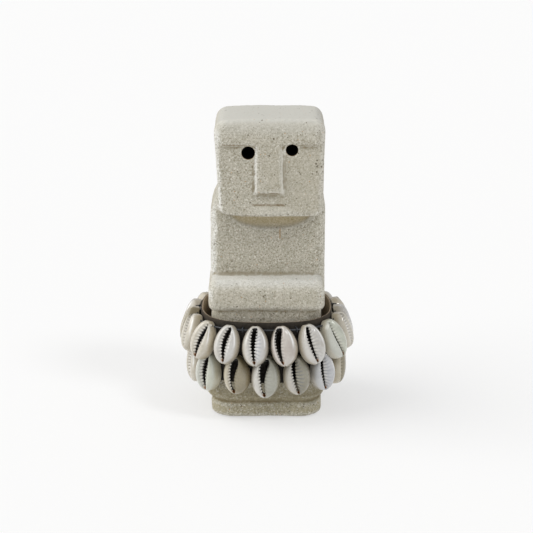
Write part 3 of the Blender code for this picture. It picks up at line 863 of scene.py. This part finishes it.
def shellVertex(kind, row, station, side, share):
    layer, across = station
    if layer in ("rim", "rimIn"):
        across = 1.0
    x, dome, z = cowriePoint(kind, row, side, share, across, layer)
    if layer == "rim":
        dome = 0.0
    if layer in ("rimIn", "inner"):
        shrink = 1 - cowrie["wall"] / row["halfWidth"]
        x, z = x * shrink, z * shrink
        dome = max(0.0, dome - cowrie["wall"]) if layer == "inner" else 0.0
    if layer == "throat":
        dome = max(0.8 * mm, dome - 0.8 * mm)
        x += side * 0.15 * mm
    if layer == "deep":
        # all but the widest slits close again inside
        dome = max(0.3 * mm, dome - 2.3 * mm)
        slits, widths = kind[:2]
        closed = 1 - 0.75 * smoothStep(3.4, 5.0, widths[0])
        middleX = throughThree(slits, share) * row["halfWidth"]
        x = middleX + (x - middleX) * (1 - 0.94 * closed)
    return Vector((x, cowrie["back"] - dome, z + cowrie["top"] - row["halfLength"]))


def cowrieMesh(kindName, row, scale):
    kind = cowrieKinds[kindName]
    shares = [(i + 0.5) / cowrie["around"] for i in range(cowrie["around"])]
    order = [(-1, s) for s in shares] + [(1, s) for s in reversed(shares)]
    bm = bmesh.new()
    first = bmesh.ops.create_circle(bm, cap_ends=False, segments=len(order), radius=1)["verts"]
    loop = sorted(first, key=lambda v: v.index)
    edges = start = list(bm.edges)
    facts = {}
    for number, station in enumerate(shellStations):
        if number:
            edges, loop = nextLoop(bm, edges, loop)
        for vert, (side, share) in zip(loop, order):
            vert.co = shellVertex(kind, row, station, side, share)
            facts[vert] = (station[1], share, side, shellInside[station[0]])
    bmesh.ops.bridge_loops(bm, edges=start + edges)
    bmesh.ops.scale(bm, verts=bm.verts, vec=(scale, scale, scale))
    bmesh.ops.recalc_face_normals(bm, faces=bm.faces)
    bm.verts.index_update()
    listed = [facts[v] for v in bm.verts]
    mesh = meshFrom(bm, "cowrie")
    for number, name in enumerate(("across", "along", "side", "inside")):
        keepValues(mesh, name, [f[number] for f in listed])
    return mesh


# Base tint, second tint, how strong the painted shade between the ribs shows, how golden the sides are, how
# bright the painted highlight streak is, and the painted shade that the tint of the right lip is multiplied
# by
shellTints = {
    "White": ((0.64, 0.627, 0.595), (0.525, 0.50, 0.455), 0.25, 0.55, 0.80, (0.92, 0.92, 0.92)),
    "Ash": ((0.66, 0.65, 0.61), (0.56, 0.54, 0.49), 0.25, 0.50, 0.10, (0.55, 0.555, 0.50)),
    "Ribbed": ((0.63, 0.617, 0.585), (0.53, 0.50, 0.44), 0.62, 0.55, 0.80, (0.90, 0.91, 0.94)),
    "Grey": ((0.55, 0.53, 0.48), (0.47, 0.44, 0.375), 0.80, 0.50, 0.0, (0.50, 0.49, 0.42)),
    "Cream": ((0.64, 0.605, 0.525), (0.52, 0.475, 0.385), 0.22, 0.66, 0.70, (0.95, 0.95, 0.95)),
    "Blue": ((0.59, 0.595, 0.59), (0.47, 0.475, 0.485), 0.50, 0.40, 0.20, (0.90, 0.90, 0.92)),
    "Tan": ((0.57, 0.525, 0.42), (0.46, 0.41, 0.30), 0.22, 0.62, 0.0, (0.47, 0.44, 0.35)),
    "Green": ((0.60, 0.607, 0.545), (0.50, 0.51, 0.455), 0.10, 0.50, 0.15, (0.92, 0.93, 0.88)),
    "Pink": ((0.66, 0.63, 0.59), (0.55, 0.495, 0.455), 0.08, 0.50, 0.85, (0.84, 0.83, 0.81)),
}
# Tints laid over every shell's own, with their strengths; shellTints has those of the first three
shellPaint = {
    "band": (0.33, 0.34, 0.38),
    "gold": (0.42, 0.345, 0.215),
    "highlightStreak": (0.96, 0.96, 0.95),
    "tooth": ((0.82, 0.80, 0.745), 0.7),
    "furrow": ((0.30, 0.26, 0.20), 0.22),
    "rim": ((0.66, 0.61, 0.50), 0.8),
    "fleck": ((0.45, 0.40, 0.31), 0.22),
    "inside": ((0.010, 0.008, 0.007), 1.0),
    "rust": ((0.42, 0.17, 0.03), 0.90),
}


def shellMaterial(name):
    base, second, ribs, gold, highlightStreak, shade = shellTints[name]
    m = Nodes("shell" + name, base, shellPaint)
    across, along, side, inside = (m.attribute(n) for n in ("across", "along", "side", "inside"))
    clouds = m.noise(6 * mm, 3.0, 0.6)
    fine = m.noise(1.1 * mm, 2.0, 0.5)
    right = m.ramp(side, -0.5, 0.5)
    m.lay(m.ramp(clouds, 0.40, 0.70), second)
    # the toothed side is a little darker than the other
    m.lay(m.minus(1.0, right), second, 0.35)
    # painted bluish shade in the grooves between the ribs that run on from the teeth
    bands = m.ramp(m.math("COSINE", m.times(along, 2 * math.pi * cowrie["teeth"])), 0.2, -0.9)
    reach = m.times(m.ramp(across, 0.60, 0.25), m.plus(0.35, m.times(right, 0.65)))
    m.lay(m.times(bands, reach), shellPaint["band"], ribs)
    # the furrows between the teeth are darker, and the teeth are whiter
    m.lay(m.times(m.minus(1.0, bands), m.ramp(across, 0.22, 0.03)), "tooth")
    m.lay(m.times(bands, m.ramp(across, 0.18, 0.03)), "furrow")
    # the sides go golden, and the cut rim is a pale line
    m.lay(m.ramp(across, 0.72, 0.95), shellPaint["gold"], gold)
    m.lay(m.ramp(across, 0.985, 0.999), "rim")
    m.lay(m.ramp(fine, 0.58, 0.78), "fleck")
    # painted shade: the right lip's tint is darkened, as the lamps leave it in shade, most on the lower row
    m.color = m.mix(right, m.color, shade, "MULTIPLY")
    # a painted highlight: a pale streak down the shoulder of the right lip, where a bright lamp would be
    # reflected
    waver = m.plus(across, m.times(m.minus(clouds, 0.5), 0.10))
    streak = m.ramp(m.away(waver, 0.70), 0.085, 0.015)
    streak = m.times(streak, m.ramp(m.away(along, 0.36), 0.24, 0.08), right)
    m.lay(streak, shellPaint["highlightStreak"], highlightStreak)
    # painted shade: the inner faces, seen through the slit, are painted near black
    m.lay(m.ramp(inside, 0.3, 0.85), "inside")
    # a rusty stain at the lower end of the slit
    rust = m.times(m.ramp(along, 0.885, 0.955), m.ramp(across, 0.24, 0.08))
    m.lay(rust, "rust")
    return m.finish({
        "Base Color": m.color, "Roughness": m.ramp(clouds, 0.3, 0.7, 0.22, 0.36),
        "Normal": m.bump(m.noise(2.4 * mm, 2.0, 0.5), 0.12, 0.25 * mm),
        "Coat Weight": 1.0, "Coat Roughness": 0.05, "IOR": 1.52,
    })


# Kind and tint of each shell, counted from the middle of the front towards +X
shellOrder = {
    "upper": [
        "smooth Pink", "ribbed White", "narrow Green", "straight Cream", "smooth White",
        "slanted Cream", "straight White", "ribbed Tan", "smooth Pink", "straight White",
        "slanted Blue", "smooth Cream", "ribbed White", "slanted Tan", "narrow Cream", "leaning Cream",
        "slanted White", "straight Ribbed",
    ],
    "lower": [
        "gaping Ash", "ribbed Grey", "ribbed Blue", "smooth Tan", "straight Cream", "gaping White",
        "smooth Blue", "ribbed White", "straight Tan", "gaping Cream", "smooth White", "ribbed Green",
        "straight Cream", "slanted Cream", "slanted Green", "open Tan",
    ],
}


def hangCowries():
    materials = {name: shellMaterial(name) for name in shellTints}
    for rowName, row in rows.items():
        for number in range(row["count"]):
            kind, tint = shellOrder[rowName][number].split()
            mesh = cowrieMesh(kind, row, row["size"][number])
            where = shellLength(row, number) + row["push"][number] * mm
            place = ringFrame(where, row["cordOut"], row["cordZ"])
            for angle, axis in ((row["turn"][number], "Z"), (-row["tilt"], "X"), (row["lean"][number], "Y")):
                place = place @ Matrix.Rotation(math.radians(angle), 4, axis)
            mesh.transform(place)
            label = f"{number + 1:02d}"
            shell = newObject(f"{rowName}Shell{label}", mesh, materials[tint])
            finishPiece(shell, f"{rowName}_cowrie_{label}")
    print("cowries hung:", sum(row["count"] for row in rows.values()))


hangCowries()

band = {
    "thickness": 1.6 * mm,
    "around": 260,
    "up": 18,
    "waver": 0.22 * mm,
    "seam": 0.6 * mm,
    "trim": 0.18 * mm,  # how far the cut edges stop short, to leave room for their wobble
    "wobble": 0.16 * mm,
    "edgeRound": 0.3 * mm,
    "color": (0.016, 0.013, 0.010),
    "fleckColor": (0.035, 0.030, 0.024),
    "marginColor": (0.054, 0.042, 0.030),
    "inside": (0.36, 0.28, 0.20),
    "insideFleck": (0.47, 0.38, 0.28),
    "fuzz": ((0.10, 0.085, 0.07), 0.35),
}
thread = {
    "cordRadius": 0.5 * mm,
    "threadRadius": 0.3 * mm,
    "lay": 0.35 * mm,
    "gap": 0.3 * mm,
    "tiesPerRow": 6,
    "knotSize": 0.52 * mm,
    "knotRadius": 0.42 * mm,
    "stitchHalf": 2.2 * mm,
    "stitchDrops": (7.0 * mm, 11.0 * mm, 15.0 * mm),
    "bend": 0.5 * mm,  # how tightly a thread turns over the cord
    "bendSteps": 6,
    "cordPoints": 520,
    "knotPoints": 120,
    "threadPoints": 36,
    "plies": 2,
    "plyDepth": 0.20,
    "cordTwist": 2.6 * mm,
    "threadTwist": 1.4 * mm,
    "color": (0.010, 0.012, 0.017),
    "wornColor": (0.035, 0.042, 0.055),
}


def seamLength():
    return sum(gapLength(row, knotGap(row)) for row in rows.values()) / len(rows)


def leatherMaterial():
    m = Nodes("beltLeather", band["color"])
    fuzz = m.noise(0.5 * mm, 3.0, 0.7)
    fleck = m.noise(1.6 * mm, 2.0, 0.6)
    x, y, z = m.split(m.coords)
    m.lay(m.ramp(fleck, 0.35, 0.7), band["fleckColor"])
    # browner where it was handled, along the top at the sides
    margin = m.ramp(z, bandHigh.z - 3.4 * mm, bandHigh.z - 1.4 * mm)
    margin = m.times(margin, m.ramp(m.math("ABSOLUTE", x), 20 * mm, 29 * mm, 0.30, 1.0))
    m.lay(margin, band["marginColor"])
    inside = m.mix(m.ramp(fuzz, 0.3, 0.7), band["inside"], band["insideFleck"])
    m.lay(m.attribute("inward"), inside)
    m.lay(m.ramp(fuzz, 0.60, 0.75), *band["fuzz"])
    return m.finish({
        "Base Color": m.color, "Roughness": m.ramp(fuzz, 0.3, 0.7, 0.7, 0.95),
        "Normal": m.bump(fuzz, 0.7, 0.3 * mm), "Specular IOR Level": 0.3,
    })


def makeBand():
    bm = bmesh.new()
    start = seamLength() + band["seam"] / 2
    run = ringLength - band["seam"]
    bmesh.ops.create_grid(bm, x_segments=band["around"], y_segments=band["up"], size=1)
    for vert in bm.verts:
        where = start + run * (vert.co.x + 1) / 2
        rise = (vert.co.y + 1) / 2
        place = ringFrame(where, 0.0, bandLow.z + (bandHigh.z - bandLow.z) * rise).translation
        wave = noise.noise(place / (9 * mm)) * band["waver"]
        wobble = noise.noise(place / (2.2 * mm)) * band["wobble"] if rise in (0.0, 1.0) else 0.0
        # the face never stands outside the cords' seat
        place = place - ringAt(where)[1] * (band["waver"] + wave * 0.8)
        place.z += wobble - (band["trim"] if rise > 0.99 else -band["trim"] if rise < 0.01 else 0.0)
        vert.co = place
    bmesh.ops.recalc_face_normals(bm, faces=bm.faces)
    probe = next(iter(bm.faces))
    if probe.normal.dot(probe.calc_center_median() * Vector((1, 1, 0))) <= 0:
        bmesh.ops.reverse_faces(bm, faces=bm.faces)
    strip = newObject("waistBand", meshFrom(bm, "waistBand"))
    wall = strip.modifiers.new("wall", "SOLIDIFY")
    wall.thickness = band["thickness"] - band["waver"] * 2
    wall.offset = -1.0
    applied(strip)
    soften = strip.modifiers.new("edge", "BEVEL")
    soften.width = band["edgeRound"]
    soften.segments = 2
    soften.limit_method = "ANGLE"
    applied(strip)
    inward = []
    power, half = ringShape["power"], ringShape["half"]
    for vert in strip.data.vertices:
        reach = (abs(vert.co.x) ** power + abs(vert.co.y) ** power) ** (1 / power)
        inward.append(smoothStep(half - 0.4 * mm, half - 1.0 * mm, reach))
    keepValues(strip.data, "inward", inward)
    strip.data.materials.clear()
    strip.data.materials.append(leatherMaterial())
    strip.data.shade_smooth()
    finishPiece(strip, "waist_band")


def cordMaterial():
    m = Nodes("waxedCord")
    wear = m.noise(1.2 * mm, 2.0, 0.6)
    fibre = m.noise(0.35 * mm, 2.0, 0.6)
    return m.finish({
        "Base Color": m.mix(m.ramp(wear, 0.35, 0.75), thread["color"], thread["wornColor"]),
        "Roughness": m.ramp(wear, 0.3, 0.7, 0.22, 0.42), "Normal": m.bump(fibre, 0.3, 0.1 * mm),
        "Coat Weight": 0.4, "Coat Roughness": 0.2,
    })


def resample(path, count):
    # evenly spaced points on a line through the given ones
    lengths = [0.0]
    for a, b in zip(path, path[1:]):
        lengths.append(lengths[-1] + (b - a).length)
    made = []
    spot = 0
    for i in range(count):
        want = min(lengths[-1] / (count - 1) * i, lengths[-1])
        while spot < len(lengths) - 2 and lengths[spot + 1] < want:
            spot += 1
        share = (want - lengths[spot]) / max(1e-12, lengths[spot + 1] - lengths[spot])
        made.append(path[spot].lerp(path[spot + 1], clamp(share, 0.0, 1.0)))
    return made


def laidCord(name, points, radius, material, twist, sides, cyclic=False):
    # a cord of twisted plies, swept along the points
    count = len(points)
    bm = bmesh.new()
    bmesh.ops.create_circle(bm, cap_ends=False, segments=sides, radius=1)
    loop = list(bm.verts)
    edges = start = list(bm.edges)
    side = None
    run = 0.0
    for i, point in enumerate(points):
        before = points[i - 1] if i or cyclic else points[i]
        after = points[(i + 1) % count] if i < count - 1 or cyclic else points[i]
        ahead = (after - before).normalized()
        if side is None:
            side = ahead.orthogonal().normalized()
        side = (side - ahead * side.dot(ahead)).normalized()
        up = ahead.cross(side)
        if i:
            run += (point - points[i - 1]).length
            edges, loop = nextLoop(bm, edges, loop)
        turn = 2 * math.pi * run / twist
        for n, vert in enumerate(loop):
            angle = 2 * math.pi * n / sides
            swell = 1 - thread["plyDepth"] * (0.5 - 0.5 * math.cos(thread["plies"] * (angle - turn)))
            vert.co = point + (side * math.cos(angle) + up * math.sin(angle)) * radius * swell
    if cyclic:
        bmesh.ops.bridge_loops(bm, edges=start + edges)
    else:
        bmesh.ops.contextual_create(bm, geom=start)
        bmesh.ops.contextual_create(bm, geom=edges)
    bmesh.ops.recalc_face_normals(bm, faces=bm.faces)
    return newObject(name, meshFrom(bm, name), material)


def makeCords(material):
    size, count = thread["knotSize"], thread["knotPoints"]
    knotHalf = 3 * size + thread["knotRadius"] + thread["gap"]
    lift = 1.5 * size
    for rowName, row in rows.items():
        knotLength = gapLength(row, knotGap(row))
        run = ringLength - 2 * knotHalf
        points = []
        for i in range(thread["cordPoints"]):
            length = knotLength + knotHalf + run * i / (thread["cordPoints"] - 1)
            points.append(ringFrame(length, row["cordOut"], row["cordZ"]).translation)
        cord = laidCord(rowName + "Cord", points, thread["cordRadius"], material, thread["cordTwist"], 12)
        finishPiece(cord, rowName + "_cord")

        out = max(row["cordOut"], lift + thread["knotRadius"] + thread["gap"])
        place = ringFrame(knotLength, out, row["cordZ"])
        loop = []
        for i in range(count):
            turn = 2 * math.pi * i / count
            x = math.sin(turn) + 2 * math.sin(2 * turn)
            z = math.cos(turn) - 2 * math.cos(2 * turn)
            loop.append(place @ Vector((x * size, math.sin(3 * turn) * lift, z * size)))
        knot = laidCord(
            rowName + "Knot", loop, thread["knotRadius"], material, thread["cordTwist"], 10, cyclic=True,
        )
        finishPiece(knot, rowName + "_cord_knot")


def roundedStaple(place, half, reach, upright):
    inside = band["thickness"] - thread["gap"] / 2
    bend = thread["bend"]
    flat = [(-half, inside), (-half, -reach + bend)]
    for i in range(thread["bendSteps"] + 1):
        turn = math.pi / 2 * i / thread["bendSteps"]
        flat.append((-half + bend * (1 - math.cos(turn)), -reach + bend * (1 - math.sin(turn))))
    flat += [(-across, y) for across, y in reversed(flat)]
    points = [Vector((0.0, y, across)) if upright else Vector((across, y, 0.0)) for across, y in flat]
    return resample([place @ p for p in points], thread["threadPoints"])


def makeThread(name, points, material, node):
    made = laidCord(name, points, thread["threadRadius"], material, thread["threadTwist"], 8)
    finishPiece(made, node)


def makeThreads(material):
    tieHalf = thread["cordRadius"] + thread["lay"] + thread["threadRadius"]
    for rowName, row in rows.items():
        for i in range(thread["tiesPerRow"]):
            gap = knotGap(row) + round((i + 0.5) * row["count"] / thread["tiesPerRow"])
            place = ringFrame(gapLength(row, gap), 0.0, row["cordZ"])
            points = roundedStaple(place, tieHalf, row["cordOut"] + tieHalf, True)
            makeThread(f"{rowName}Tie{i + 1}", points, material, f"{rowName}_tie_{i + 1}")
    for i, dropped in enumerate(thread["stitchDrops"]):
        place = ringFrame(seamLength(), 0.0, bandHigh.z - dropped)
        reach = thread["lay"] + thread["threadRadius"]
        points = roundedStaple(place, thread["stitchHalf"], reach, False)
        makeThread(f"seamStitch{i + 1}", points, material, f"seam_stitch_{i + 1}")


makeBand()
waxed = cordMaterial()
makeCords(waxed)
makeThreads(waxed)
print("band, cords and threads ready")
